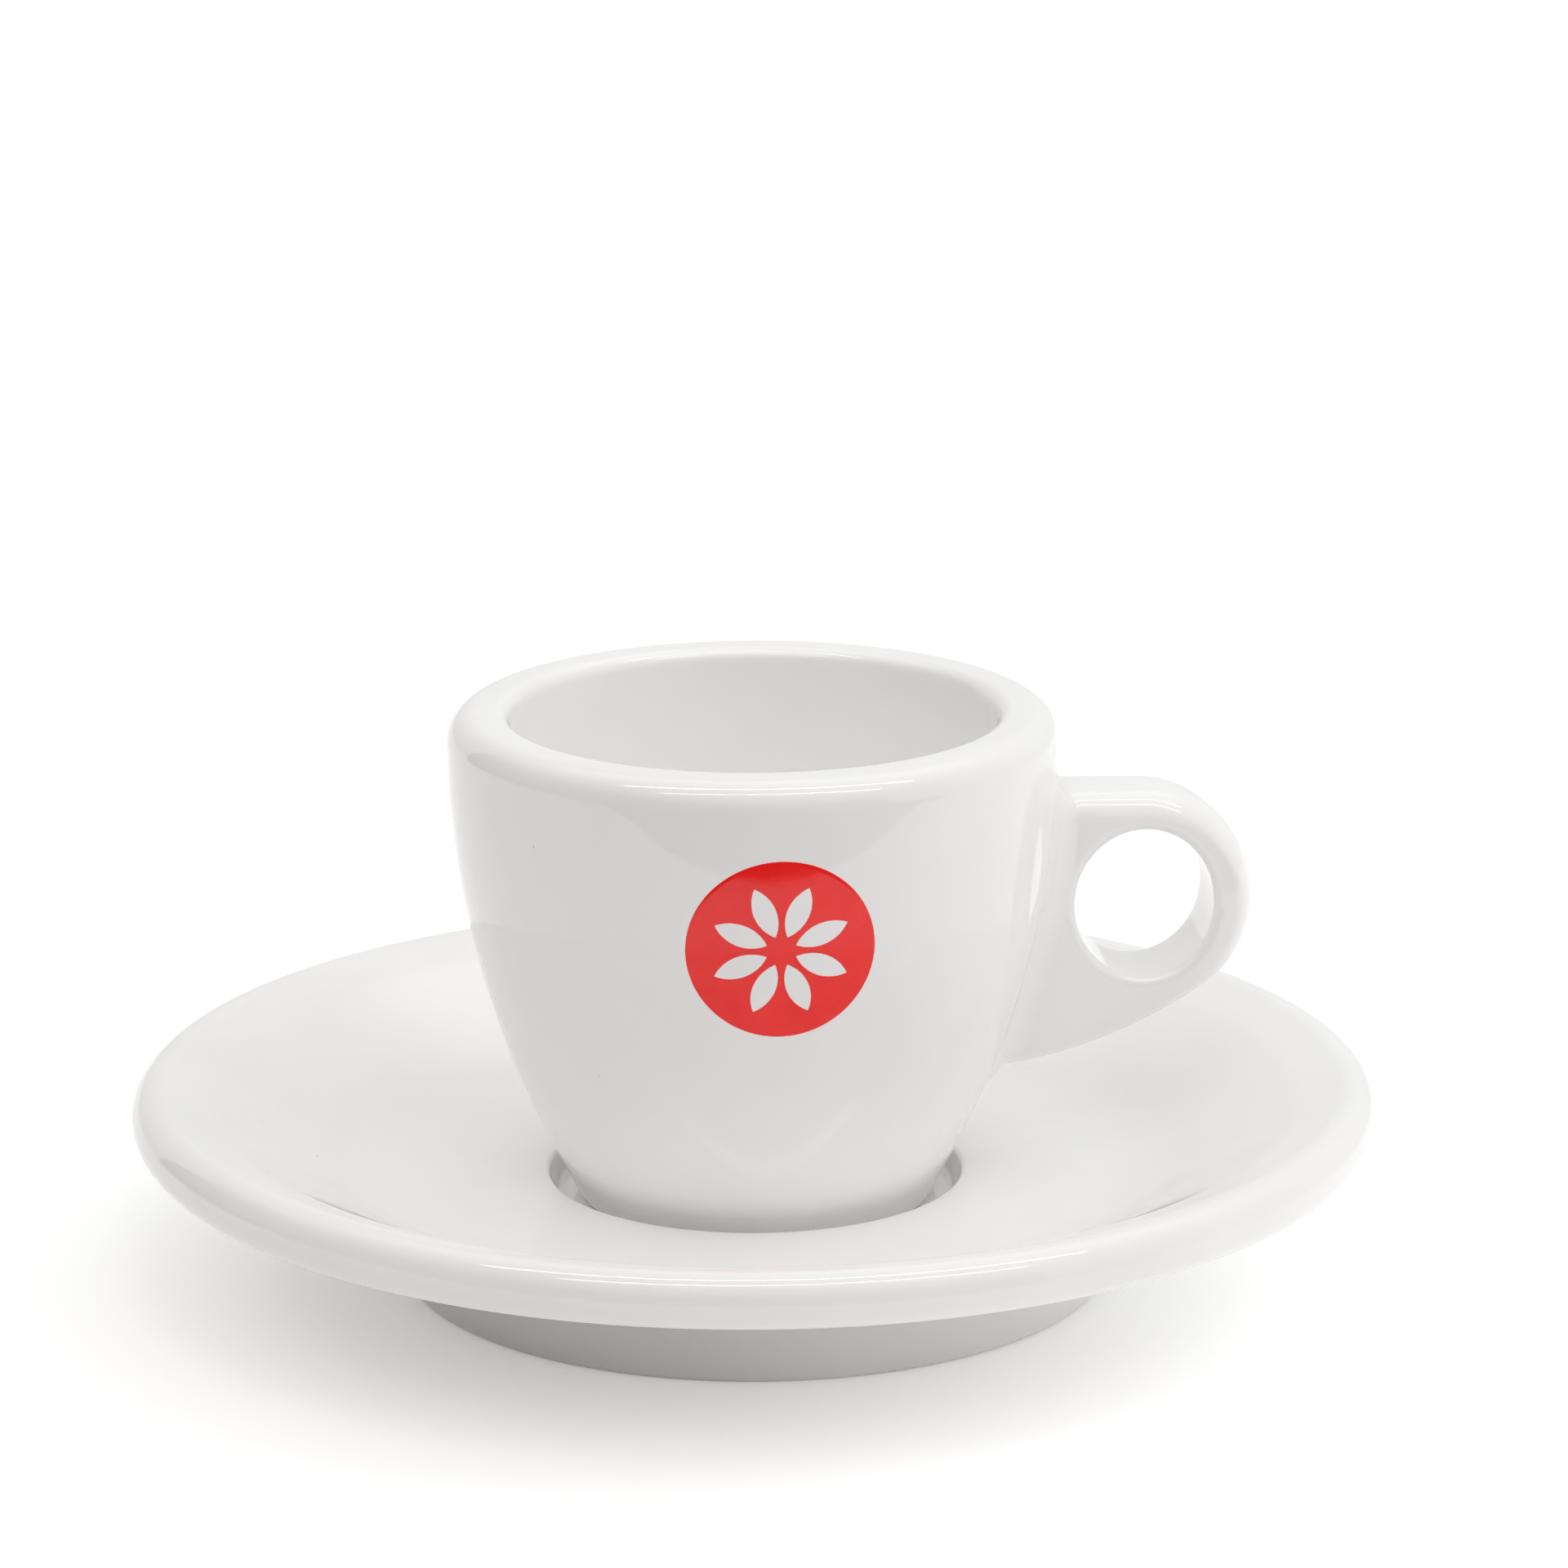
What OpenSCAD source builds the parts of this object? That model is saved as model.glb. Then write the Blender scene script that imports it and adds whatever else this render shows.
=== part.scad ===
// Espresso cup standing on its saucer: thick glazed porcelain with a loop handle and a round print.
// Millimetres, +Z up. The origin is on the common axis, on the table under the saucer's foot.
// The handle points along +X and the print faces -Y.

/* [Saucer dish] */
// outer diameter of the saucer
saucer_d = 125; // [116:1:136]
// height of the rim's top above the table
saucer_h = 20.2; // [19:0.1:22]
// thickness of the rounded rim
saucer_rim_t = 5.7; // [4.6:0.1:6.4]
// length of the straight lip inside the rim
lip_l = 3.6; // [2:0.2:5]
// slope of the lip
lip_tilt = 20; // [14:1:22]
// radius of the bend between lip and flank
lip_bend_r = 15; // [8:1:22]
// slope of the flank
flank_tilt = 28; // [24:1:32]
// radius of the hollow bend between flank and floor
floor_bend_r = 18; // [10:1:26]
// height of the flat floor above the table
saucer_floor_h = 10.3; // [9.5:0.1:11.2]
// slope of the underside
under_tilt = 19; // [17:0.5:21]

/* [Saucer well and foot] */
// depth of the well that holds the cup
well_depth = 2.3; // [1.4:0.1:3]
// room around the cup's foot on the well's floor
well_gap = 2.2; // [1.2:0.1:4]
// how far the well's wall leans outwards over its height
well_lean = 1; // [0.4:0.1:2]
// radius of the well's upper edge
well_edge_r = 0.6; // [0.3:0.1:0.9]
// diameter of the saucer's foot on the table
foot_d = 70.8; // [66:0.2:76]
// lean of the foot's outer wall
foot_tilt = 15; // [8:1:20]
// width of the foot ring on the table
foot_w = 3.2; // [2.4:0.1:5]
// height of the hollow under the saucer
foot_recess = 4; // [2:0.5:5]
// radius of the foot ring's edges
foot_edge_r = 0.8; // [0.4:0.1:1.1]
// radius of the hollow corners beside the foot ring
foot_corner_r = 2; // [1:0.5:3]

/* [Cup body] */
// outer diameter at the widest level
cup_d = 60.8; // [56:0.2:66]
// height of the cup
cup_h = 50; // [47:0.5:56]
// radius of the wall's curve from top to bottom
wall_curve_r = 92; // [82:1:100]
// height of the straight wall above the foot
straight_h = 6; // [4:0.1:10]
// thickness of the wall
wall_t = 6.1; // [4.5:0.1:7]
// radius of the rim's outer shoulder
rim_out_r = 2.9; // [2.2:0.1:3.6]
// radius of the rim's inner edge
rim_in_r = 1.8; // [1:0.1:2.2]
// thickness of the bottom, foot ring included
bottom_t = 5.5; // [4.5:0.5:8]
// radius between the inside wall and the bottom
bottom_r = 12; // [8:0.5:15]
// width of the cup's foot ring
cup_foot_w = 3; // [2:0.2:4.4]
// height of the hollow under the cup
cup_recess = 1.3; // [0.6:0.1:2]
// radius of the cup's foot edges
cup_foot_edge_r = 0.9; // [0.4:0.1:1]

/* [Handle] */
// width of the finger hole
hole_w = 14; // [12.5:0.1:15.5]
// height of the finger hole
hole_l = 15.2; // [14:0.1:16.5]
// height of the finger hole's centre above the cup's base
hole_h = 29.9; // [28:0.1:31.5]
// clay between the finger hole and the wall
web_t = 2.9; // [2.2:0.1:4]
// outer radius of the loop
loop_r = 11.4; // [11:0.1:12.4]
// width of the handle, across the loop
handle_w = 10.5; // [8.5:0.1:12.5]
// radius of the handle's outer edges beside the wall
loop_edge_r = 2.4; // [1.2:0.1:2.5]
// how far the loop's outer edges round in over its width at its far end
loop_crown = 5; // [2.5:0.1:5.2]
// radius of the hole's edges
hole_edge_r = 1.1; // [0.6:0.1:1.1]
// radius of the fillet where the handle meets the wall
root_fillet_r = 1.6; // [0.6:0.1:2]
// radius of the long lower curve
brace_r = 51; // [46:1:70]
// angle below level where the loop runs into the lower curve
brace_turn = 58; // [54:1:62]
// slip between handle and wall
slip_gap = 0.03; // [0.03:0.01:0.1]

/* [Print] */
// diameter of the round print
print_d = 18.2; // [12:0.2:22]
// height of the print's centre above the cup's base
print_h = 33.4; // [31:0.2:34]
// thickness of the print
print_t = 0.06; // [0.04:0.02:0.3]
// number of petals left blank in the print
petal_n = 8; // [5:1:10]
// distance of a petal's inner tip from the centre
petal_start = 1.5; // [1:0.1:2]
// length of a petal
petal_l = 5.4; // [2.5:0.1:5.8]
// width of a petal
petal_w = 2.2; // [0.8:0.1:2.4]

/* [Hidden] */
$fn = 96;

// degrees of turn per straight step on an arc
arc_step = 6;
wall_step = 1.5;
// steps along the loop, the top, the root, the lower curve and the fillet, and across one section
loop_n = 24;
top_n = 5;
root_n = 13;
brace_n = 10;
fillet_n = 5;
edge_n = 5;
side_n = 7;
root_m = 2 * edge_n + side_n + 1;
fillet_share = 0.85;
// where the crowned edge begins and is full, in loop radii from the hole's centre
crown_shares = [-0.4, 0.5];

// saucer: rim circle, lip, flank and underside as lines tangent to each other
rim_r = saucer_rim_t / 2;
rim_c = [saucer_d / 2 - rim_r, saucer_h - rim_r];
lip_out = rim_c + rim_r * dir(90 + lip_tilt);
lip_in = lip_out - lip_l * dir(lip_tilt);
lip_c = lip_in - lip_bend_r * dir(90 + lip_tilt);
flank_out = lip_c + lip_bend_r * dir(90 + flank_tilt);
bend_drop = floor_bend_r * (1 - cos(flank_tilt));
bend_out_r = flank_out.x - (flank_out.y - saucer_floor_h - bend_drop) / tan(flank_tilt);
bend_c = [bend_out_r - floor_bend_r * sin(flank_tilt), saucer_floor_h + floor_bend_r];
under_out = rim_c + rim_r * dir(under_tilt - 90);
foot_top_h = (under_out.y - (under_out.x - foot_d / 2) * tan(under_tilt))
    / (1 - tan(foot_tilt) * tan(under_tilt));
foot_top = [foot_d / 2 + foot_top_h * tan(foot_tilt), foot_top_h];

// cup: everything is measured from the well's floor, which carries it
base_z = saucer_floor_h - well_depth;
cup_r = cup_d / 2;
cup_top = base_z + cup_h;
wall_c = [cup_r - wall_curve_r, cup_top - rim_out_r];
wall_tilt = asin((cup_h - rim_out_r - straight_h) / wall_curve_r);
wall_low = wall_c + wall_curve_r * dir(-wall_tilt);
cup_foot_r = wall_low.x - (wall_low.y - base_z) * tan(wall_tilt);
inner_r = wall_curve_r - wall_t;
inside_z = base_z + bottom_t;
bowl_z = inside_z + bottom_r;
bowl_c = [wall_c.x + sqrt(pow(inner_r - bottom_r, 2) - pow(wall_c.y - bowl_z, 2)), bowl_z];
bowl_turn = atan2(wall_c.y - bowl_c.y, bowl_c.x - wall_c.x);
well_r = cup_foot_r + well_gap;

// handle: the loop is centred on the finger hole, the lower curve is tangent to the loop
hole_z = base_z + hole_h;
hole_c = [wall_x(hole_z) + web_t + hole_w / 2, hole_z];
half_w = handle_w / 2;
brace_c = hole_c - (brace_r - loop_r) * dir(-brace_turn);
// its neck, off the wall by the fillet's radius, and the corners of the outline there
web_room = hole_c.x - hole_w / 2 - hole_edge_r - on_wall(hole_z, half_w, 0).x;
neck_d = min(root_fillet_r, fillet_share * web_room);
root_top = [on_wall(hole_z + loop_r, 0, neck_d).x, hole_z + loop_r];
root_low = meet(wall_c, wall_curve_r + neck_d, brace_c, brace_r);
root_turn = atan2(root_low.y - brace_c.y, root_low.x - brace_c.x);
root_margin = 1.3 * loop_edge_r;

function dir(a) = [cos(a), sin(a)];
function unit(v) = v / norm(v);
function steps(turn, step) = max(2, ceil(abs(turn) / step));
function arc(c, r, a0, a1, step = arc_step) =
    let (n = steps(a1 - a0, step)) [for (i = [0:n]) c + r * dir(a0 + (a1 - a0) * i / n)];

// A corner b between a and c, rounded to radius r as far as its two sides allow.
function corner(a, b, c, r) =
    let (u = unit(b - a), v = unit(c - b))
    let (turn = atan2(u.x * v.y - u.y * v.x, u * v))
    let (reach = min(r * tan(abs(turn) / 2), norm(b - a) / 2, norm(c - b) / 2))
    let (rr = reach / tan(abs(turn) / 2), side = sign(turn))
    let (centre = b - reach * u + side * rr * [-u.y, u.x], n = steps(turn, arc_step))
    let (start = atan2(-side * u.x, side * u.y))
    [for (i = [0:n]) centre + rr * dir(start + turn * i / n)];

// Where two circles cross on the lower side.
function meet(c1, r1, c2, r2) =
    let (d = c2 - c1, l = norm(d), a = (r1 * r1 - r2 * r2 + l * l) / (2 * l))
    let (h = sqrt(r1 * r1 - a * a), u = d / l)
    c1 + a * u + h * [u.y, -u.x];

// Outer radius of the cup's wall at height z.
function wall_x(z) = z < wall_low.y
    ? wall_low.x - (wall_low.y - z) * tan(wall_tilt)
    : wall_c.x + sqrt(wall_curve_r * wall_curve_r - pow(wall_c.y - z, 2));

// The dish: one turned profile from the hollow under the foot round the rim to the well's floor.
module saucer() {
    foot_in = [foot_d / 2 - foot_w, 0];
    foot_out = [foot_d / 2, 0];
    hollow = [foot_in.x - foot_recess * tan(foot_tilt), foot_recess];
    well_top = [well_r + well_lean, saucer_floor_h];
    well_low = [well_r, base_z];
    outline = concat(
        [[0, foot_recess]],
        corner([0, foot_recess], hollow, foot_in, foot_corner_r),
        corner(hollow, foot_in, foot_out, foot_edge_r),
        corner(foot_in, foot_out, foot_top, foot_edge_r),
        corner(foot_out, foot_top, under_out, foot_corner_r),
        arc(rim_c, rim_r, under_tilt - 90, 90 + lip_tilt),
        arc(lip_c, lip_bend_r, 90 + lip_tilt, 90 + flank_tilt),
        arc(bend_c, floor_bend_r, flank_tilt - 90, -90),
        corner([bend_c.x, saucer_floor_h], well_top, well_low, well_edge_r),
        corner(well_top, well_low, [0, base_z], well_edge_r),
        [[0, base_z]]
    );
    color([0.93, 0.93, 0.92])
        rotate_extrude() polygon(outline);
}

// The cup without its handle: one turned profile, foot ring, curved wall, thick rim and bowl.
module cup_body() {
    under = [0, base_z + cup_recess];
    foot_in = [cup_foot_r - cup_foot_w, base_z];
    hollow = [foot_in.x - cup_recess * tan(wall_tilt), under.y];
    foot_out = [cup_foot_r, base_z];
    shoulder = [cup_r, cup_top];
    lip = [cup_r - wall_t, cup_top];
    outline = concat(
        [under],
        corner(under, hollow, foot_in, cup_foot_edge_r),
        corner(hollow, foot_in, foot_out, cup_foot_edge_r),
        corner(foot_in, foot_out, wall_low, cup_foot_edge_r),
        arc(wall_c, wall_curve_r, -wall_tilt, 0, wall_step),
        arc(shoulder - [rim_out_r, rim_out_r], rim_out_r, arc_step, 90),
        corner(shoulder - [rim_out_r, 0], lip, [lip.x, wall_c.y], rim_in_r),
        arc(wall_c, inner_r, 0, -bowl_turn, wall_step),
        arc(bowl_c, bottom_r, -bowl_turn, -90),
        [[0, inside_z]]
    );
    color([0.91, 0.91, 0.9])
        rotate_extrude() polygon(outline);
}

// Stations round the finger hole: [point on the handle's outline, outward normal, kind],
// where kind 0 is the free outline, 1 a corner at the wall and 2 the root on the wall.
function stations() =
    let (root_a = root_top.y - root_margin, root_b = root_low.y + root_margin)
    concat(
        [for (i = [0:loop_n])
            let (a = -brace_turn + (90 + brace_turn) * i / loop_n)
            [hole_c + loop_r * dir(a), dir(a), 0]],
        [for (i = [1:top_n])
            [hole_c + [(root_top.x - hole_c.x) * i / top_n, loop_r], dir(90), i < top_n ? 0 : 1]],
        [for (i = [0:root_n])
            let (z = root_a + (root_b - root_a) * i / root_n)
            [[wall_x(z), z], dir(180), 2]],
        [for (i = [0:brace_n - 1])
            let (a = root_turn + (-brace_turn - root_turn) * i / brace_n)
            [brace_c + brace_r * dir(a), dir(a), i > 0 ? 0 : 1]]
    );

// Distance of the finger hole's rim from its centre along the unit vector q.
function hole_rim(q) = hole_w * hole_l / (2 * norm([hole_l * q.x, hole_w * q.y]));

// How far the outer edge is crowned at x: 0 beside the wall, 1 at the loop's far end.
function crown(x) =
    let (a = hole_c.x + crown_shares[0] * loop_r, b = hole_c.x + crown_shares[1] * loop_r)
    let (t = max(0, min(1, (x - a) / (b - a))))
    t * t * (3 - 2 * t);

// A point of the root: height z, across y, distance d off the wall.
function on_wall(z, y, d) = [sqrt(pow(wall_x(z), 2) - y * y) + slip_gap + d, y, z];

// Half of one section, from the hole's edge over the side face to the outline. The stations at the
// wall are taken at distance d off it, with their outline flared by g.
function half_section(s, side, d, g) =
    let (p = s[0], n = s[1], kind = s[2], q = unit(p - hole_c), rim = hole_rim(q))
    let (across = loop_edge_r + (loop_crown - loop_edge_r) * crown(p.x))
    concat(
        [for (j = [0:edge_n])
            let (a = 90 * j / edge_n, m = hole_c + (rim + hole_edge_r * (1 - cos(a))) * q)
            [m.x, side * (half_w - hole_edge_r * (1 - sin(a))), m.y]],
        [for (j = [0:edge_n])
            let (a = 90 * j / edge_n, inset = loop_edge_r * (1 - sin(a)), m = p - inset * n)
            let (y = half_w - across * (1 - cos(a)))
            kind == 2 ? on_wall(p.y, side * (half_w + g) * (1 - 2 * j / root_m), d)
            : kind == 1 ? on_wall(p.y + sign(n.y) * (g * sin(a) - inset), side * (y + g * cos(a)), d)
            : [m.x, side * y, m.y]]
    );

// One closed section: near half, the outline's width, far half.
function section(s, d, g) =
    let (near = half_section(s, -1, d, g), far = half_section(s, 1, d, g), k = len(near) - 1)
    concat(
        near,
        [for (i = [1:side_n])
            let (m = near[k] + (far[k] - near[k]) * i / (side_n + 1))
            s[2] == 0 ? m : on_wall(m.z, m.y, d)],
        [for (i = [0:k]) far[k - i]]
    );

// The [row, column] places round the border of a grid whose last row is n and last column m.
function border(n, m) = concat(
    [for (j = [0:m - 1]) [0, j]],
    [for (i = [0:n - 1]) [i, m]],
    [for (j = [m:-1:1]) [n, j]],
    [for (i = [n:-1:1]) [i, 0]]
);

// Two triangles for each step between two rows of point numbers.
function strip(a, b) = [for (j = [0:len(a) - 2])
    each [[a[j], b[j + 1], a[j + 1]], [a[j], b[j], b[j + 1]]]];

// The handle: a ring lofted round the finger hole, whose neck flares in a fillet onto the wall.
module cup_handle() {
    ring = stations();
    loft = [for (s = ring) section(s, neck_d, 0)];
    n = len(loft);
    m = len(loft[0]);
    // the stations at the wall, and the columns of a section that lie there
    top = loop_n + top_n;
    low = top + root_n + 2;
    near = edge_n + 1;
    far = near + root_m;
    flares = [for (r = [1:fillet_n])
        let (a = 90 * r / fillet_n)
        [for (i = [top:low]) section(ring[i], neck_d * (1 - sin(a)), neck_d * (1 - cos(a)))]];
    edge = border(low - top, root_m);
    cap_at = n * m + (fillet_n - 1) * len(edge);
    points = concat(
        [for (row = loft) each row],
        [for (r = [0:fillet_n - 2], e = edge) flares[r][e[0]][near + e[1]]],
        [for (row = flares[fillet_n - 1], j = [near:far]) row[j]]
    );
    // point numbers along the neck, along each step of the fillet and along its end on the wall
    seams = concat(
        [[for (e = edge) (top + e[0]) * m + near + e[1]]],
        [for (r = [0:fillet_n - 2]) [for (i = [0:len(edge) - 1]) n * m + r * len(edge) + i]],
        [[for (e = edge) cap_at + e[0] * (root_m + 1) + e[1]]]
    );
    faces = concat(
        [for (i = [0:n - 1], j = [0:m - 1])
            if (i < top || i >= low || j < near || j >= far)
                let (a = i * m, b = (i + 1) % n * m, j2 = (j + 1) % m)
                each strip([a + j, a + j2], [b + j, b + j2])],
        [for (r = [0:fillet_n - 1])
            let (a = seams[r], b = seams[r + 1])
            each strip(concat(a, [a[0]]), concat(b, [b[0]]))],
        [for (i = [0:low - top - 1])
            let (a = cap_at + i * (root_m + 1), b = a + root_m + 1)
            each strip([for (j = [0:root_m]) a + j], [for (j = [0:root_m]) b + j])]
    );
    color([0.9, 0.9, 0.89])
        polyhedron(points, faces);
}

// The fired-on print: a round film on the wall with a ring of blank petals.
module front_print() {
    wall = arc(wall_c, wall_curve_r, -wall_tilt, 0, wall_step);
    film = arc(wall_c, wall_curve_r + print_t, 0, -wall_tilt, wall_step);
    petal_r = (petal_l * petal_l + petal_w * petal_w) / (4 * petal_w);
    petal_x = petal_start + petal_l / 2;
    color([0.86, 0.17, 0.16])
        intersection() {
            rotate_extrude() polygon(concat(wall, film));
            translate([0, 0, base_z + print_h]) rotate([90, 0, 0]) linear_extrude(cup_d)
                difference() {
                    circle(d = print_d);
                    for (i = [0:petal_n - 1])
                        rotate((i + 0.5) * 360 / petal_n) intersection() {
                            translate([petal_x, petal_r - petal_w / 2]) circle(petal_r);
                            translate([petal_x, petal_w / 2 - petal_r]) circle(petal_r);
                        }
                }
        }
}

saucer();
cup_body();
cup_handle();
front_print();
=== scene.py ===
import math

import bpy
import numpy as np
from mathutils import Matrix, Vector


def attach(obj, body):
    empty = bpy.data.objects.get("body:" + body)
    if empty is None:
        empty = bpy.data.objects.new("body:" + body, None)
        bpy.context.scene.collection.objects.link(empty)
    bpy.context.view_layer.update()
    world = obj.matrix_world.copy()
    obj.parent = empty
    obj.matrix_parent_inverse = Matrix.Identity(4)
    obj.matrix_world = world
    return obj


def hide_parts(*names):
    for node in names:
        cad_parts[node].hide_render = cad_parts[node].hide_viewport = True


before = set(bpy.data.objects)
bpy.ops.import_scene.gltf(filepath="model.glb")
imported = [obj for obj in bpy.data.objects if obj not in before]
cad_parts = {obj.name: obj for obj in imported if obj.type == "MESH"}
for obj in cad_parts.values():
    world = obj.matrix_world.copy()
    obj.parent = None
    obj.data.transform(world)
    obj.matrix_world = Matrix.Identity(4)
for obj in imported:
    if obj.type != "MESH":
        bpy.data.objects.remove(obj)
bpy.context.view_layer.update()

# Saucer: a thick dish of white porcelain, pressed in one piece and glazed all over except on its foot ring,
# which is wiped bare so that it doesn't stick to the kiln shelf. The cup stands in the well in its middle.
MM = 0.001
saucer_r = 62.5
saucer_h = 20.2
saucer_rim_r = 2.85
lip_l, lip_tilt, lip_bend_r = 3.6, 20, 15
flank_tilt, floor_bend_r, floor_h = 28, 18, 10.3
under_tilt = 19
well_depth, well_top_r, well_low_r, well_edge_r = 2.3, 20.9, 19.9, 0.6
foot_r, foot_w, foot_tilt, foot_recess = 35.4, 3.2, 15, 4.0
foot_edge_r, foot_corner_r = 0.8, 2.0
saucer_warp = 0.08


def ray(angle):
    return np.array([math.cos(math.radians(angle)), math.sin(math.radians(angle))])


def slope(angle):
    return math.tan(math.radians(angle))


def arc(centre, radius, start, end, step=2.5):
    count = max(3, math.ceil(abs(end - start) / step))
    return [np.array(centre) + radius * ray(start + (end - start) * i / count) for i in range(count + 1)]


def corner(before, at, after, radius):
    """The corner at a point of an outline, rounded to a radius as far as its two sides allow."""
    a, b, c = (np.array(p, float) for p in (before, at, after))
    u, v = (b - a) / np.linalg.norm(b - a), (c - b) / np.linalg.norm(c - b)
    turn = math.degrees(math.atan2(u[0] * v[1] - u[1] * v[0], u @ v))
    half = slope(abs(turn) / 2)
    reach = min(radius * half, np.linalg.norm(b - a) / 2, np.linalg.norm(c - b) / 2)
    side = math.copysign(1, turn)
    centre = b - reach * u + side * reach / half * np.array([-u[1], u[0]])
    start = math.degrees(math.atan2(-side * u[0], side * u[1]))
    return arc(centre, reach / half, start, start + turn, 7.5)


def evened(outline, longest=1.2):
    """The outline with its long straight stretches cut into short ones, and double points left out."""
    points = [np.array(outline[0], float)]
    for p in outline[1:]:
        gap = np.linalg.norm(np.array(p) - points[-1])
        if gap > 1e-4:
            count = math.ceil(gap / longest)
            last = points[-1]
            points += [last + (np.array(p) - last) * i / count for i in range(1, count + 1)]
    return np.array(points)


def piece(name, points, faces):
    """A smooth mesh object from points in millimetres."""
    mesh = bpy.data.meshes.new(name)
    mesh.from_pydata((np.asarray(points) * MM).tolist(), [], faces)
    mesh.validate()
    mesh.shade_smooth()
    thing = bpy.data.objects.new(name, mesh)
    bpy.context.scene.collection.objects.link(thing)
    return thing


def turned(name, outline, sides=288, warp=0.0):
    """A solid turned from an outline that starts and ends on the axis; warp lifts its rim in soft waves."""
    rows = evened(outline)
    body, count = rows[1:-1], len(rows) - 2
    around = np.arange(sides) * 2 * math.pi / sides
    wave = warp * np.cos(2 * around + 0.6) + 0.5 * warp * np.cos(3 * around + 2.0)
    r, z = body[:, :1], body[:, 1:]
    share = (r / r.max()) ** 3
    ring = np.stack([r * np.cos(around), r * np.sin(around), z + share * wave], -1).reshape(-1, 3)
    points = np.vstack([ring, [0, 0, rows[0][1]], [0, 0, rows[-1][1]]])
    first, last = len(ring), len(ring) + 1
    faces = []
    for j in range(sides):
        k = (j + 1) % sides
        faces.append((first, k, j))
        faces.append((last, (count - 1) * sides + j, (count - 1) * sides + k))
        for row in range(0, (count - 1) * sides, sides):
            faces.append((row + j, row + k, row + sides + k, row + sides + j))
    return piece(name, points, faces)


rim_c = np.array([saucer_r - saucer_rim_r, saucer_h - saucer_rim_r])
lip_out = rim_c + saucer_rim_r * ray(90 + lip_tilt)
lip_c = lip_out - lip_l * ray(lip_tilt) - lip_bend_r * ray(90 + lip_tilt)
flank_out = lip_c + lip_bend_r * ray(90 + flank_tilt)
bend_w, bend_h = floor_bend_r * ray(flank_tilt)[1], floor_bend_r * (1 - ray(flank_tilt)[0])
bend_x = flank_out[0] - (flank_out[1] - floor_h - bend_h) / slope(flank_tilt) - bend_w
under_out = rim_c + saucer_rim_r * ray(under_tilt - 90)
under_h = under_out[1] - (under_out[0] - foot_r) * slope(under_tilt)
foot_top_h = under_h / (1 - slope(foot_tilt) * slope(under_tilt))
foot_top = (foot_r + foot_top_h * slope(foot_tilt), foot_top_h)
foot_in, foot_out = (foot_r - foot_w, 0), (foot_r, 0)
hollow = (foot_in[0] - foot_recess * slope(foot_tilt), foot_recess)
base_z = floor_h - well_depth
well_top, well_low = (well_top_r, floor_h), (well_low_r, base_z)

saucer = turned(
    "saucer_dish",
    [(0, foot_recess)]
    + corner((0, foot_recess), hollow, foot_in, foot_corner_r)
    + corner(hollow, foot_in, foot_out, foot_edge_r)
    + corner(foot_in, foot_out, foot_top, foot_edge_r)
    + corner(foot_out, foot_top, under_out, foot_corner_r)
    + arc(rim_c, saucer_rim_r, under_tilt - 90, 90 + lip_tilt, 5)
    + arc(lip_c, lip_bend_r, 90 + lip_tilt, 90 + flank_tilt, 1)
    + arc((bend_x, floor_h + floor_bend_r), floor_bend_r, flank_tilt - 90, -90, 2)
    + corner((bend_x, floor_h), well_top, well_low, well_edge_r)
    + corner(well_top, well_low, (0, base_z), well_edge_r)
    + [(0, base_z)],
    warp=saucer_warp,
)
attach(saucer, "saucer")
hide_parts("saucer")


class Socket:
    """A shader socket; arithmetic on it adds Math nodes to its tree."""

    def __init__(self, shader, out):
        self.shader, self.out = shader, out

    def math(self, operation, *values):
        return self.shader.node("ShaderNodeMath", {"operation": operation}, dict(enumerate(values)))

    def __add__(self, other):
        return self.math("ADD", self, other)

    def __sub__(self, other):
        return self.math("SUBTRACT", self, other)

    def __rsub__(self, other):
        return self.math("SUBTRACT", other, self)

    def __mul__(self, other):
        return self.math("MULTIPLY", self, other)

    def __truediv__(self, other):
        return self.math("DIVIDE", self, other)

    def __pow__(self, other):
        return self.math("POWER", self, other)

    def step(self, low, high):
        """0 below low, 1 above high, smooth between; low above high turns it round."""
        return self.shader.node("ShaderNodeMapRange", {"interpolation_type": "SMOOTHSTEP"},
                                {"Value": self, "From Min": low, "From Max": high})

    __radd__, __rmul__ = __add__, __mul__


class Shader:
    """The node tree of a material or of the world."""

    def __init__(self, owner):
        self.owner = owner
        owner.use_nodes = True
        self.tree = owner.node_tree
        self.tree.nodes.clear()

    def node(self, kind, settings=None, sockets=None, output=0):
        """Adds a node: its settings first, then the values or links of its sockets. Returns one output."""
        made = self.tree.nodes.new(kind)
        for key, value in (settings or {}).items():
            setattr(made, key, value)
        for key, value in (sockets or {}).items():
            if isinstance(value, Socket):
                self.tree.links.new(value.out, made.inputs[key])
            else:
                made.inputs[key].default_value = value
        return Socket(self, made.outputs[output]) if len(made.outputs) else made

    def place(self):
        """The point on the surface in the part's own frame, in metres."""
        return self.node("ShaderNodeTexCoord", output="Object")

    def xyz(self, vector):
        return [self.node("ShaderNodeSeparateXYZ", None, {0: vector}, axis) for axis in "XYZ"]

    def noise(self, vector, size, detail=2.0, roughness=0.5):
        """Noise from 0 to 1 with lumps of a size in millimetres."""
        return self.node("ShaderNodeTexNoise", None, {"Vector": vector, "Scale": 1 / (size * MM),
                                                      "Detail": detail, "Roughness": roughness})

    def mix(self, factor, first, second):
        """Colour first where factor is 0, second where it is 1."""
        return self.node("ShaderNodeMix", {"data_type": "RGBA"}, {0: factor, 6: first, 7: second}, 2)

    def surface(self, shader, kind="ShaderNodeOutputMaterial"):
        self.node(kind, None, {"Surface": shader})
        return self.owner


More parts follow.
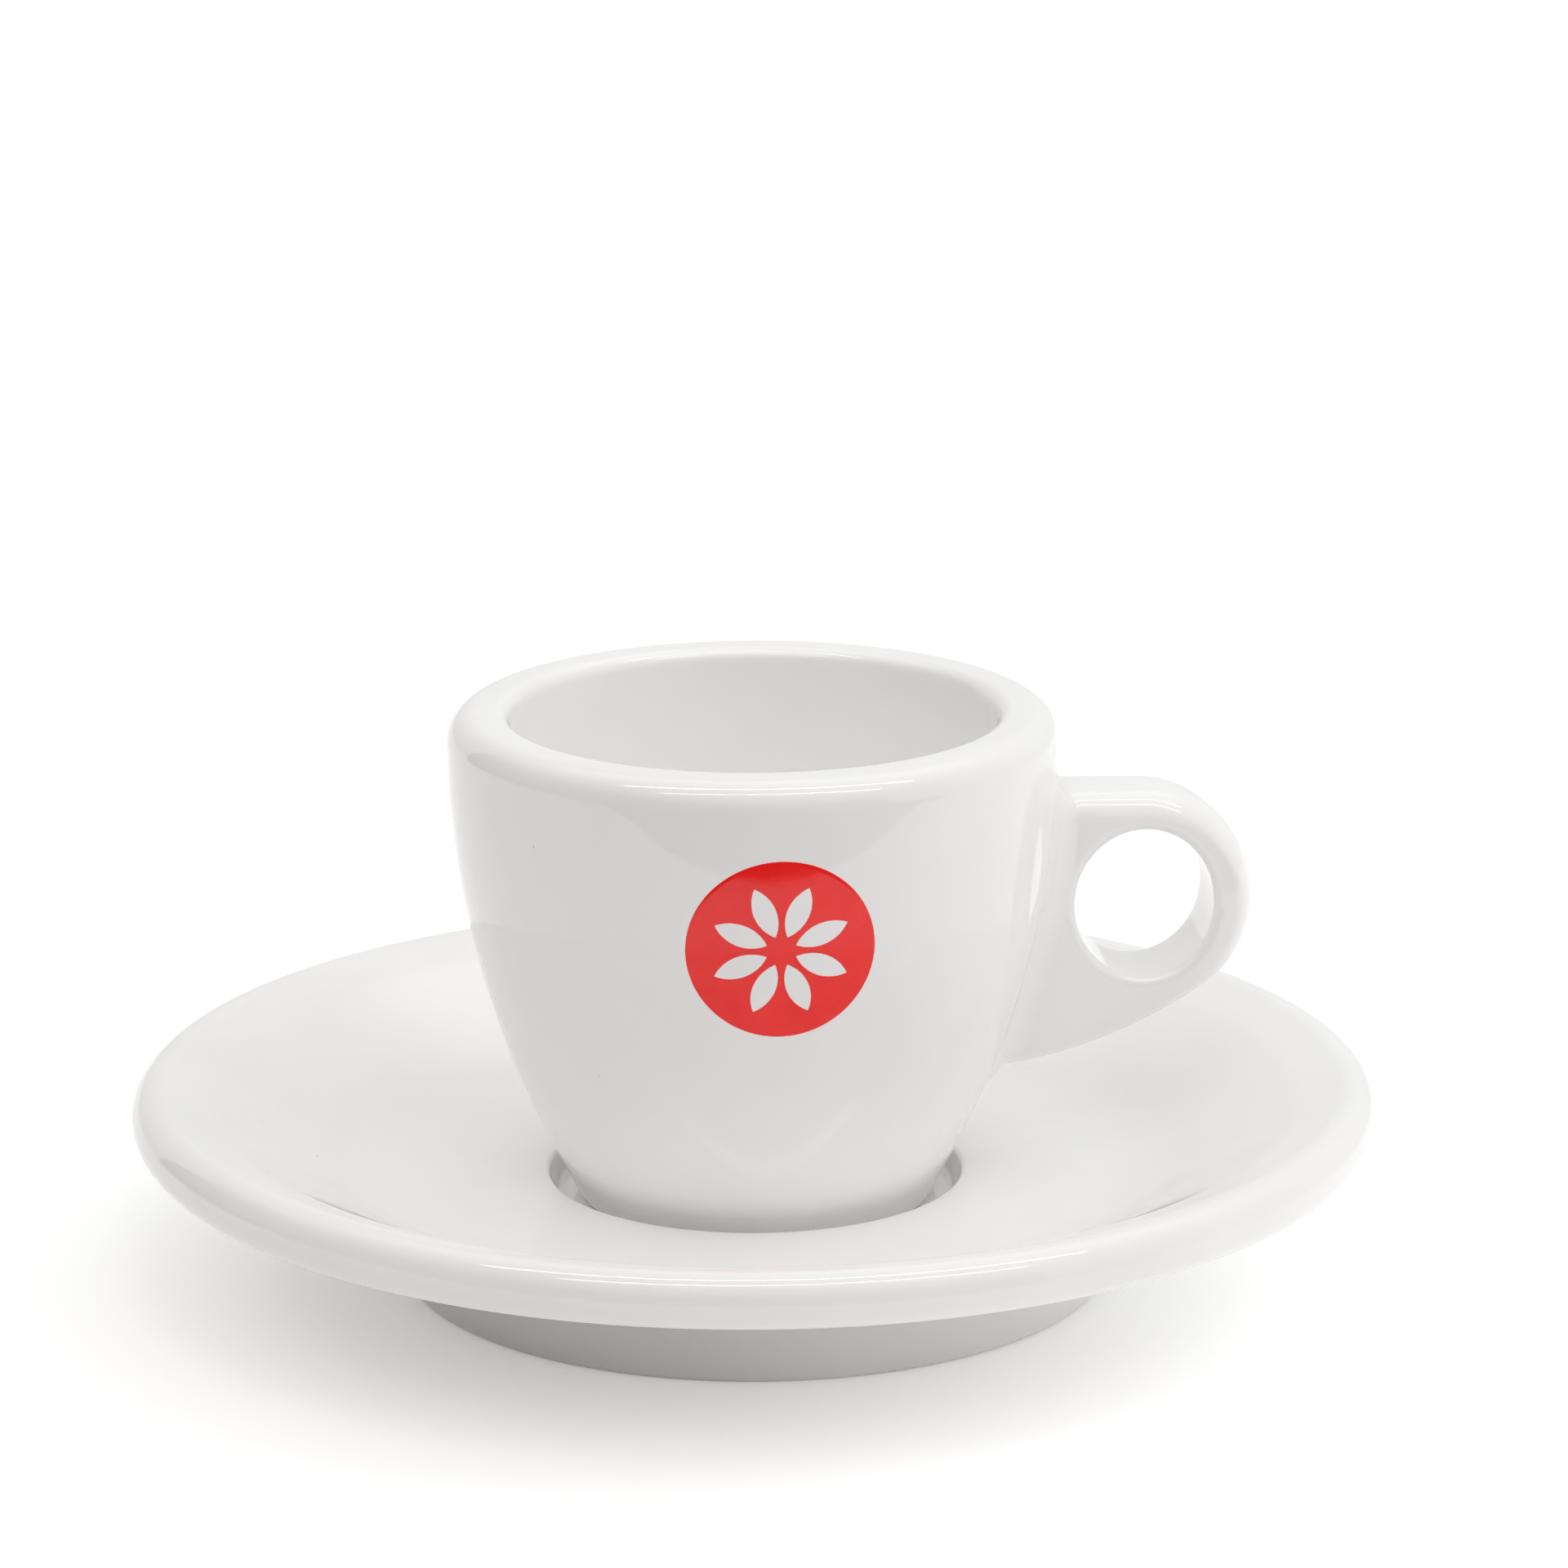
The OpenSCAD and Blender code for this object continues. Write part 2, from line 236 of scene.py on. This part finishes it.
glaze_whites = (0.922, 0.918, 0.911, 1), (0.942, 0.939, 0.934, 1)
clay_browns = (0.60, 0.56, 0.50, 1), (0.74, 0.71, 0.66, 1)
speck_brown, speck_depth = (0.30, 0.26, 0.22, 1), 0.55
cloud_size, gloss_size, ripple_size, peel_size = 16, 9, 7, 2.2
cloud_from, cloud_full = 0.3, 0.7
speck_gap, speck_edge, speck_core, speck_pit = 5.5, 0.045, 0.02, 0.8
speck_from, speck_full = 0.72, 0.8
grain_size, grain_depth, peel_depth = 0.25, 1.5, 0.4
wipe_size, wipe_reach, wipe_blur, wipe_fade = 1.5, 0.3, 0.1, 0.25
gloss_rough, gloss_spread, clay_rough = 0.03, 0.04, 0.65
glaze_ior, bump_depth, glaze_bump = 1.5, 0.03, 0.25


def clouded_white(s, at):
    """The glaze's white, slightly darker and warmer in some places than in others."""
    return s.mix(s.noise(at, cloud_size, 3).step(cloud_from, cloud_full), *glaze_whites)


def glaze(name, bare_in, bare_out, bare_z):
    """White gloss glaze with pin specks, and a bare foot ring between two radii up to a height."""
    s = Shader(bpy.data.materials.new(name))
    at = s.place()
    x, y, z = s.xyz(at)
    cells = {"Vector": at, "Scale": 1 / (speck_gap * MM)}
    apart = s.node("ShaderNodeTexVoronoi", None, cells, "Distance")
    pick, shade, _ = s.xyz(s.node("ShaderNodeTexVoronoi", None, cells, "Color"))
    speck = apart.step(speck_edge, speck_core) * pick.step(speck_from, speck_full)
    tinted = s.mix(speck * shade * speck_depth, clouded_white(s, at), speck_brown)
    across = (x * x + y * y) ** 0.5
    edge = s.noise(at, wipe_size) * (wipe_reach * MM)
    bare = (z - edge).step(bare_z * MM, (bare_z - wipe_fade) * MM) \
        * (across + edge).step((bare_in - wipe_blur) * MM, (bare_in + wipe_blur) * MM) \
        * (across - edge).step((bare_out + wipe_blur) * MM, (bare_out - wipe_blur) * MM)
    grain = s.noise(at, grain_size, 2)
    colour = s.mix(bare, tinted, s.mix(grain, *clay_browns))
    gloss = gloss_rough + s.noise(at, gloss_size, 2) * gloss_spread
    rough = gloss * (1 - bare) + bare * clay_rough
    peel = s.noise(at, peel_size, 1.0) * peel_depth + s.noise(at, ripple_size, 1.0)
    peel = peel - speck * speck_pit + bare * grain * grain_depth
    relief = {"Strength": glaze_bump, "Distance": bump_depth * MM, "Height": peel}
    bump = s.node("ShaderNodeBump", None, relief)
    return s.surface(s.node("ShaderNodeBsdfPrincipled", None, {
        "Base Color": colour, "Roughness": rough, "IOR": glaze_ior, "Normal": bump}))


saucer.data.materials.append(glaze("saucer_glaze", foot_r - foot_w + 0.3, foot_r - 0.3, 0.35))

# Cup body: a thick-walled bowl of the same porcelain, cast in one piece, with a heavy rounded rim and a foot
# ring wiped bare underneath. It only stands in the saucer's well and lifts straight off.
cup_r, cup_h = 30.4, 50.0
wall_curve_r, straight_h, wall_t = 92.0, 6.0, 6.1
rim_out_r, rim_in_r = 2.9, 1.8
bottom_t, bottom_r = 5.5, 12.0
cup_foot_w, cup_recess, cup_foot_edge_r = 3.0, 1.3, 0.9

cup_top = base_z + cup_h
wall_c = np.array([cup_r - wall_curve_r, cup_top - rim_out_r])
wall_tilt = math.degrees(math.asin((cup_h - rim_out_r - straight_h) / wall_curve_r))
wall_low = wall_c + wall_curve_r * ray(-wall_tilt)
cup_foot_r = wall_low[0] - (wall_low[1] - base_z) * slope(wall_tilt)
inner_r, inside_z = wall_curve_r - wall_t, base_z + bottom_t
bowl_z = inside_z + bottom_r
bowl_c = np.array([wall_c[0] + math.sqrt((inner_r - bottom_r) ** 2 - (wall_c[1] - bowl_z) ** 2), bowl_z])
bowl_turn = math.degrees(math.atan2(wall_c[1] - bowl_c[1], bowl_c[0] - wall_c[0]))
cup_under = (0, base_z + cup_recess)
cup_foot_in, cup_foot_out = (cup_foot_r - cup_foot_w, base_z), (cup_foot_r, base_z)
cup_hollow = (cup_foot_in[0] - cup_recess * slope(wall_tilt), cup_under[1])
rim_lip = (cup_r - wall_t, cup_top)

cup = turned(
    "cup_bowl",
    [cup_under]
    + corner(cup_under, cup_hollow, cup_foot_in, cup_foot_edge_r)
    + corner(cup_hollow, cup_foot_in, cup_foot_out, cup_foot_edge_r)
    + corner(cup_foot_in, cup_foot_out, wall_low, cup_foot_edge_r)
    + arc(wall_c, wall_curve_r, -wall_tilt, 0, 0.5)
    + arc((cup_r - rim_out_r, cup_top - rim_out_r), rim_out_r, 0, 90, 4)
    + corner((cup_r - rim_out_r, cup_top), rim_lip, (rim_lip[0], wall_c[1]), rim_in_r)
    + arc(wall_c, inner_r, 0, -bowl_turn, 0.5)
    + arc(bowl_c, bottom_r, -bowl_turn, -90, 3)
    + [(0, inside_z)],
)
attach(cup, "cup")
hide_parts("cup_body")
cup.data.materials.append(glaze("cup_glaze", cup_foot_r - cup_foot_w + 0.2, cup_foot_r - 0.35, base_z + 0.3))

# Handle: a loop cast by itself and luted to the wall with slip before firing, so that glaze runs over the
# joint in a soft fillet. Its edges are sponged round, most of all on the far side of the loop.
hole_w, hole_l, hole_z = 14.0, 15.2, base_z + 29.9
web_t, loop_r, handle_w = 2.9, 11.4, 10.5
near_edge_r, loop_edge_r, loop_crown, hole_edge_r = 2.6, 2.4, 5.0, 0.9
root_top_r, root_side_r = 0.8, 2.8
brace_r, brace_turn = 51.0, 58
crown_from, crown_full = -0.1, 0.8
camber_near, camber_far, camber_from = 0.12, 0.5, -0.8
root_side_from, root_side_full = 0.4, 1.1
root_depth, root_skirt, root_dive, dive_lead = 0.9, 1.1, 0.18, 0.3
handle_from, handle_margin, skin_cell = 7, 2, 0.4


def wall_x(z):
    """Outer radius of the cup's wall at a height."""
    z = np.asarray(z, float)
    curved = wall_c[0] + np.sqrt(np.maximum(wall_curve_r ** 2 - (wall_c[1] - z) ** 2, 0))
    return np.where(z < wall_low[1], wall_low[0] - (wall_low[1] - z) * slope(wall_tilt), curved)


def eased(value, low, high):
    """0 below low, 1 above high, smooth between."""
    t = np.clip((value - low) / (high - low), 0, 1)
    return t * t * (3 - 2 * t)


def handle_field(p, cut=True):
    """Below 0 inside the handle with its root fillet, above 0 outside.

    Cut, it ends a little way inside the cup's wall; uncut, the fillet runs on into the wall's own surface.
    """
    x, y, z = p[..., 0], np.abs(p[..., 1]), p[..., 2]
    dx, dz = x - hole_c[0], z - hole_c[1]
    turn = np.degrees(np.arctan2(dz, dx))
    loop = np.hypot(dx, dz) - loop_r
    tail = np.maximum(dz - loop_r, np.hypot(x - brace_c[0], z - brace_c[1]) - brace_r)
    outline = np.where((turn > -brace_turn) & (turn < 90), loop, tail)
    t = eased(dx / loop_r, crown_from, crown_full)
    camber = (camber_near + (camber_far - camber_near) * eased(dx / loop_r, camber_from, 0)) * (1 - t)
    outline = outline + camber * np.minimum(y / handle_w * 2, 1) ** 2
    along = near_edge_r + (loop_edge_r - near_edge_r) * t
    across = near_edge_r + (loop_crown - near_edge_r) * t
    side = y - handle_w / 2
    a, b = np.maximum(outline / along + 1, 0), np.maximum(side / across + 1, 0)
    outer = np.where((a > 0) & (b > 0), (np.hypot(a, b) - 1) * along, np.maximum(outline, side))
    rim = (1 - np.hypot(dx / hole_w, dz / hole_l) * 2) * hole_w / 2
    a, b = np.maximum(rim + hole_edge_r, 0), np.maximum(side + hole_edge_r, 0)
    inner = np.where((a > 0) & (b > 0), np.hypot(a, b) - hole_edge_r, np.maximum(rim, side))
    slab = np.maximum(outer, inner)
    wall = np.hypot(x, y) - wall_x(z)
    sideways = eased(y / handle_w * 2, root_side_from, root_side_full)
    root_r = root_top_r + (root_side_r - root_top_r) * sideways
    if cut:
        wall = wall + root_dive * np.maximum(slab - root_r + dive_lead, 0) ** 2
    fillet = np.maximum(np.minimum(slab, wall), root_r) \
        - np.hypot(np.maximum(root_r - slab, 0), np.maximum(root_r - wall, 0))
    if cut:
        fillet = np.maximum(np.maximum(fillet, -wall - root_depth), slab - root_r - root_skirt)
    return fillet


def uphill(field, points, h=0.02):
    """The field's slope along x, y and z at some points."""
    return np.stack([(field(points + h * e) - field(points - h * e)) / (2 * h) for e in np.eye(3)], -1)


def skin(field, low, high, cell, passes=(0, 0, 0.5, 0.5, 0.5, 0, 0, 0), flattest=0.2):
    """Quads on the zero level of a field inside a box, one point per crossed cell.

    Each pass evens the points out by its share and then draws them onto the level.
    """
    low = np.array(low, float)
    counts = np.ceil((np.array(high) - low) / cell).astype(int) + 1
    grid = low + cell * np.stack(np.meshgrid(*[np.arange(n) for n in counts], indexing="ij"), -1)
    inside = field(grid) < 0
    n = counts - 1
    corners = [(i, j, k) for i in (0, 1) for j in (0, 1) for k in (0, 1)]
    held = sum(inside[i:n[0] + i, j:n[1] + j, k:n[2] + k].astype(int) for i, j, k in corners)
    crossed = (held > 0) & (held < 8)
    index = np.full(crossed.shape, -1)
    index[crossed] = np.arange(crossed.sum())
    points = low + cell * (np.argwhere(crossed) + 0.5)
    faces = []
    for axis in range(3):
        u, v = (axis + 1) % 3, (axis + 2) % 3
        ahead = np.roll(inside, -1, axis)
        for at in np.argwhere(inside != ahead):
            if at[axis] >= n[axis] or at[u] == 0 or at[v] == 0 or at[u] >= n[u] or at[v] >= n[v]:
                continue
            quad = []
            for du, dv in ((0, 0), (-1, 0), (-1, -1), (0, -1)):
                cell_at = at.copy()
                cell_at[u] += du
                cell_at[v] += dv
                quad.append(int(index[tuple(cell_at)]))
            faces.append(quad if inside[tuple(at)] else quad[::-1])
    pairs = np.array([(f[i], f[(i + 1) % 4]) for f in faces for i in range(4)])
    for relax in passes:
        if relax:
            total, count = np.zeros_like(points), np.zeros(len(points))
            np.add.at(total, pairs[:, 0], points[pairs[:, 1]])
            np.add.at(count, pairs[:, 0], 1)
            points += relax * (total / np.maximum(count, 1)[:, None] - points)
        value = field(points)
        slopes = uphill(field, points)
        points -= np.clip(value / np.maximum((slopes ** 2).sum(-1), flattest), -cell, cell)[:, None] * slopes
    return points, faces


hole_c = np.array([float(wall_x(hole_z)) + web_t + hole_w / 2, hole_z])
brace_c = hole_c - (brace_r - loop_r) * ray(-brace_turn)
handle_reach = root_side_r + handle_margin
handle_low = (cup_foot_r, -handle_w / 2 - handle_reach, base_z + handle_from)
handle_end, handle_top = hole_c[0] + loop_r + handle_margin / 2, hole_z + loop_r + handle_reach
handle_high = (handle_end, handle_w / 2 + handle_reach, handle_top)
handle_points, handle_faces = skin(handle_field, handle_low, handle_high, skin_cell)
handle = piece("cup_loop", handle_points, handle_faces)
facing = uphill(lambda p: handle_field(p, cut=False), handle_points)
handle.data.normals_split_custom_set_from_vertices(facing / np.linalg.norm(facing, axis=1, keepdims=True))
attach(handle, "cup")
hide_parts("cup_handle")
handle.data.materials.append(cup.data.materials[0])

# Front print: a thin round transfer in red ceramic colour, slid onto the glaze a quarter turn from the handle
# and fired on. A ring of petals is left blank in it, so that the white glaze shows.
print_r, print_z = 9.1, base_z + 33.4
print_t, print_fade, print_sink = 0.06, 0.12, 0.01
petal_n, petal_start, petal_l, petal_w = 8, 1.5, 5.4, 2.2
petal_r = (petal_l ** 2 + petal_w ** 2) / (4 * petal_w)
print_rings, print_sides = 40, 160
screen_reds, dot_red = ((0.95, 0.013, 0.011, 1), (0.99, 0.020, 0.016, 1)), (0.95, 0.10, 0.08, 1)
wash_size, ragged_size, ragged_reach, petal_blur = 4, 0.35, 0.05, (0.05, -0.03)
dot_size, dot_from, dot_full, dot_depth = 0.18, 0.62, 0.75, 0.12
print_rough, print_spread, print_bump = 0.07, 0.06, 0.35
weave_size, weave_depth, print_peel = 0.3, 0.25, 0.7

edge_radii = print_r - print_fade * np.array([0.5, 0.15, 0])
radii = np.concatenate([np.linspace(0, print_r - print_fade, print_rings - 2)[1:], edge_radii])
spin = np.arange(print_sides) * 2 * math.pi / print_sides
rings = np.stack([np.outer(radii, np.cos(spin)), np.outer(radii, np.sin(spin))], -1)
flat = np.vstack([[[0, 0]], rings.reshape(-1, 2)])
lift = print_t * np.sqrt(np.clip((print_r - np.hypot(*flat.T)) / print_fade, 0, 1)) - print_sink
film_z = print_z + flat[:, 1]
film = np.stack([flat[:, 0], -np.sqrt((wall_x(film_z) + lift) ** 2 - flat[:, 0] ** 2), film_z], -1)
film_faces = [(0, 1 + j, 1 + (j + 1) % print_sides) for j in range(print_sides)]
for i in range(len(radii) - 1):
    for j in range(print_sides):
        a, b = 1 + i * print_sides, 1 + (i + 1) * print_sides
        k = (j + 1) % print_sides
        film_faces.append((a + j, b + j, b + k, a + k))
transfer = piece("front_transfer", film, film_faces)
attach(transfer, "cup")
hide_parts("front_print")


def transfer_red(name):
    """Glossy red ceramic colour with a ring of blank petals, a little uneven as a screen lays it down."""
    s = Shader(bpy.data.materials.new(name))
    at = s.place()
    x, _, z = s.xyz(at)
    u, v = x / MM, z / MM - print_z
    sector = 2 * math.pi / petal_n
    angle = v.math("ARCTAN2", v, u)
    folded = angle.math("FLOORED_MODULO", angle, sector) - sector / 2
    far = (u * u + v * v) ** 0.5
    along = far * folded.math("COSINE", folded) - (petal_start + petal_l / 2)
    aside = far * folded.math("SINE", folded)
    aside = aside.math("ABSOLUTE", aside) + (petal_r - petal_w / 2)
    ragged = s.noise(at, ragged_size) * ragged_reach
    blank = ((along * along + aside * aside) ** 0.5 + ragged).step(*[petal_r + blur for blur in petal_blur])
    wash = s.noise(at, wash_size, 3)
    dots = s.noise(at, dot_size, 1).step(dot_from, dot_full) * dot_depth
    red = s.mix(dots, s.mix(wash.step(cloud_from, cloud_full), *screen_reds), dot_red)
    colour = s.mix(blank, red, clouded_white(s, at))
    rough = print_rough + wash * print_spread
    peel = s.noise(at, peel_size, 1.0) * print_peel + s.noise(at, weave_size, 1.0) * weave_depth
    relief = {"Strength": print_bump, "Distance": bump_depth * MM, "Height": peel - blank}
    bump = s.node("ShaderNodeBump", None, relief)
    return s.surface(s.node("ShaderNodeBsdfPrincipled", None, {
        "Base Color": colour, "Roughness": rough, "IOR": glaze_ior, "Normal": bump}))


transfer.data.materials.append(transfer_red("transfer_red"))

# Table: a plain sheet of pale paper, laid flat under the saucer. The camera and the glaze see it as white. It
# keeps the shadow, and its right side glows a little: painted light that stands in for light thrown back
# there.
floor_size, floor_grey = 6.0, (0.93, 0.93, 0.93, 1)
floor_painted_glow, glow_from, glow_full = 0.18, -0.06, 0.08
floor_white = 0.25
bpy.ops.mesh.primitive_plane_add(size=floor_size)
floor = bpy.context.object
floor.name = "table"


def seen_ray(s):
    """1 for rays from the camera and for those that are mirrored or go through glass, else 0."""
    words = "Camera", "Glossy", "Transmission"
    camera, glossy, through = (s.node("ShaderNodeLightPath", output=f"Is {word} Ray") for word in words)
    return camera.math("MAXIMUM", camera, glossy.math("MAXIMUM", glossy, through))


s = Shader(bpy.data.materials.new("table_white"))
paper = s.node("ShaderNodeBsdfDiffuse", None, {"Color": floor_grey})
glow, shine = (s.node("ShaderNodeEmission", None, {"Strength": level}) for level in (floor_painted_glow, floor_white))
glowing = s.node("ShaderNodeAddShader", None, {0: paper, 1: glow})
white = s.node("ShaderNodeAddShader", None, {0: paper, 1: shine})
x, _, _ = s.xyz(s.place())
# Painted light: on the right the paper glows for all other rays, lighting the object as if it threw light
# back.
lit = s.node("ShaderNodeMixShader", None, {0: x.step(glow_from, glow_full), 1: paper, 2: glowing})
sheet = s.node("ShaderNodeMixShader", None, {0: seen_ray(s), 1: lit, 2: white})
floor.data.materials.append(s.surface(sheet))

# Studio: a white tent with one soft box above the front and one on the right. Some cards outside
# the picture are only mirrored in the glaze (a dim room, the table's edge, a roof, two strip lights above).
# Two others only light it (a dim wall and the far table, which weaken the light from the front and left).
fill_level, white_level = 1.10, 1.0
lamp_aim = Vector((0, 0, 0.03))
world = bpy.data.worlds.new("tent")
bpy.context.scene.world = world
s = Shader(world)
levels = fill_level, white_level
fill, white = (s.node("ShaderNodeBackground", None, {"Strength": level}) for level in levels)
s.surface(s.node("ShaderNodeMixShader", None, {0: seen_ray(s), 1: fill, 2: white}), "ShaderNodeOutputWorld")


def soft_box(name, place, size, power):
    """A rectangular lamp that faces the cup; the glaze doesn't mirror its outline."""
    lamp = bpy.data.lights.new(name, "AREA")
    lamp.shape, lamp.size, lamp.size_y = "RECTANGLE", *size
    lamp.energy = power
    thing = bpy.data.objects.new(name, lamp)
    thing.location = place
    thing.rotation_euler = (lamp_aim - Vector(place)).to_track_quat("-Z", "Y").to_euler()
    thing.visible_glossy = False
    bpy.context.scene.collection.objects.link(thing)


soft_box("soft_box_top", place=(0, -0.40, 0.86), size=(0.3, 0.3), power=0.4)
soft_box("soft_box_right", place=(0.728, 0, 0.611), size=(0.45, 0.45), power=0.75)


def card(name, points, faces, tones, mirrored=True):
    """A card outside the picture, either mirrored or giving light; tones says its colour and strength."""
    thing = piece(name, points, faces)
    thing.visible_camera = thing.visible_shadow = thing.visible_transmission = False
    thing.visible_glossy, thing.visible_diffuse = mirrored, not mirrored
    s = Shader(bpy.data.materials.new(name))
    colour, strength = tones(s, *s.xyz(s.place()))
    glow = s.node("ShaderNodeEmission", None, {"Color": colour, "Strength": strength})
    thing.data.materials.append(s.surface(glow))


def flat_card(low, high, z):
    """A level rectangle between two corners at a height."""
    (x0, y0), (x1, y1) = low, high
    return [(x0, y0, z), (x1, y0, z), (x1, y1, z), (x0, y1, z)], [(0, 1, 2, 3)]


def round_card(radius, height, start=135, end=315, steps=48):
    """A wall bent round the cup from one angle to another, by default behind left to front right."""
    angles = [math.radians(start + (end - start) * i / steps) for i in range(steps + 1)]
    points = [(radius * math.cos(a), radius * math.sin(a), z) for a in angles for z in (1, height)]
    return points, [(2 * i, 2 * i + 2, 2 * i + 3, 2 * i + 1) for i in range(steps)]


pure_white, tent_white = (1, 1, 1, 1), (1, 0.995, 0.985, 1)
room_brown, wall_grey, table_grey = (0.12, 0.055, 0.03, 1), (0.13, 0.115, 0.105, 1), (0.40, 0.40, 0.40, 1)
edge_browns, edge_size = ((0.07, 0.035, 0.02, 1), (0.16, 0.08, 0.05, 1)), 60
room_level, wall_level, table_level, roof_level, strip_level = 1.1, 1.6, 1.0, 1.9, 12.0


def room_tones(s, x, y, z):
    """Brown below and white above, with the change higher at the far left."""
    return s.mix((z - x.step(-0.3, -0.75) * 0.2).step(0.15, 0.75), room_brown, pure_white), room_level


def wall_tones(s, x, y, z):
    """Dark grey below and white above, with the change a little lower on the right."""
    return s.mix((z + x * 0.12).step(0.10, 0.90), wall_grey, tent_white), wall_level


def table_tones(s, x, y, z):
    """Grey on top, white underneath."""
    return s.mix(s.node("ShaderNodeNewGeometry", output="Backfacing"), table_grey, pure_white), table_level


def edge_tones(s, x, y, z):
    """Clouded dark brown."""
    return s.mix(s.noise(s.place(), edge_size, 2), *edge_browns), table_level


def roof_tones(s, x, y, z):
    """White at the card's edges, rising softly to its peak."""
    level = y.step(-0.80, -0.45) * y.step(0.75, 0.45) * x.step(-0.7, -0.2) * x.step(0.8, 0.3)
    return s.mix(level, (1 / roof_level, 1 / roof_level, 1 / roof_level, 1), pure_white), roof_level


def strip_tones(s, x, y, z):
    """Even bright white."""
    return pure_white, strip_level


card_front, card_h = -137, 900
card("dim_room", *round_card(750, card_h), room_tones)
card("dim_wall", *round_card(760, card_h), wall_tones, mirrored=False)
card("table_edge", *flat_card((-700, -700), (700, card_front), z=1), edge_tones)
card("table_far", *flat_card((-750, -750), (750, card_front), z=2), table_tones, mirrored=False)
card("bright_roof", *flat_card((-800, -850), (900, 800), z=800), roof_tones)
strip_left, strip_right, strip_w, strip_z = -450, 550, 40, 790
for number, strip_y in enumerate((-55, -360)):
    strip_low, strip_high = (strip_left, strip_y - strip_w / 2), (strip_right, strip_y + strip_w / 2)
    card(f"strip_light_{number}", *flat_card(strip_low, strip_high, z=strip_z), strip_tones)

# Camera: a long lens at the photograph's distance, looking fifteen degrees down on the cup from a little to
# its left, so that the handle stands out on the right.
camera_turn, camera_back, camera_up = -5.0, 600.0, 210.317
camera_pitch, camera_yaw, camera_roll = 0.261, 0.005, -0.003
focal_px, image_px, sensor_mm = 7649.84, 1920, 36.0
lens = bpy.data.cameras.new("camera")
lens.sensor_width, lens.lens = sensor_mm, focal_px / image_px * sensor_mm
lens.clip_start, lens.clip_end = 0.01, 20
forward = Vector((math.sin(camera_yaw), math.cos(camera_yaw), 0))
right = Vector((math.cos(camera_yaw), -math.sin(camera_yaw), 0))
up = math.sin(camera_pitch) * forward + math.cos(camera_pitch) * Vector((0, 0, 1))
ahead = math.cos(camera_pitch) * forward - math.sin(camera_pitch) * Vector((0, 0, 1))
image_x = math.cos(camera_roll) * right + math.sin(camera_roll) * up
image_y = math.cos(camera_roll) * up - math.sin(camera_roll) * right
pose = Matrix((image_x, image_y, -ahead)).transposed().to_4x4()
pose.translation = Vector((0, -camera_back, camera_up)) * MM
camera = bpy.data.objects.new("camera", lens)
camera.matrix_world = Matrix.Rotation(math.radians(camera_turn), 4, "Z") @ pose
bpy.context.scene.collection.objects.link(camera)
bpy.context.scene.camera = camera
bpy.context.scene.view_settings.view_transform = "Standard"
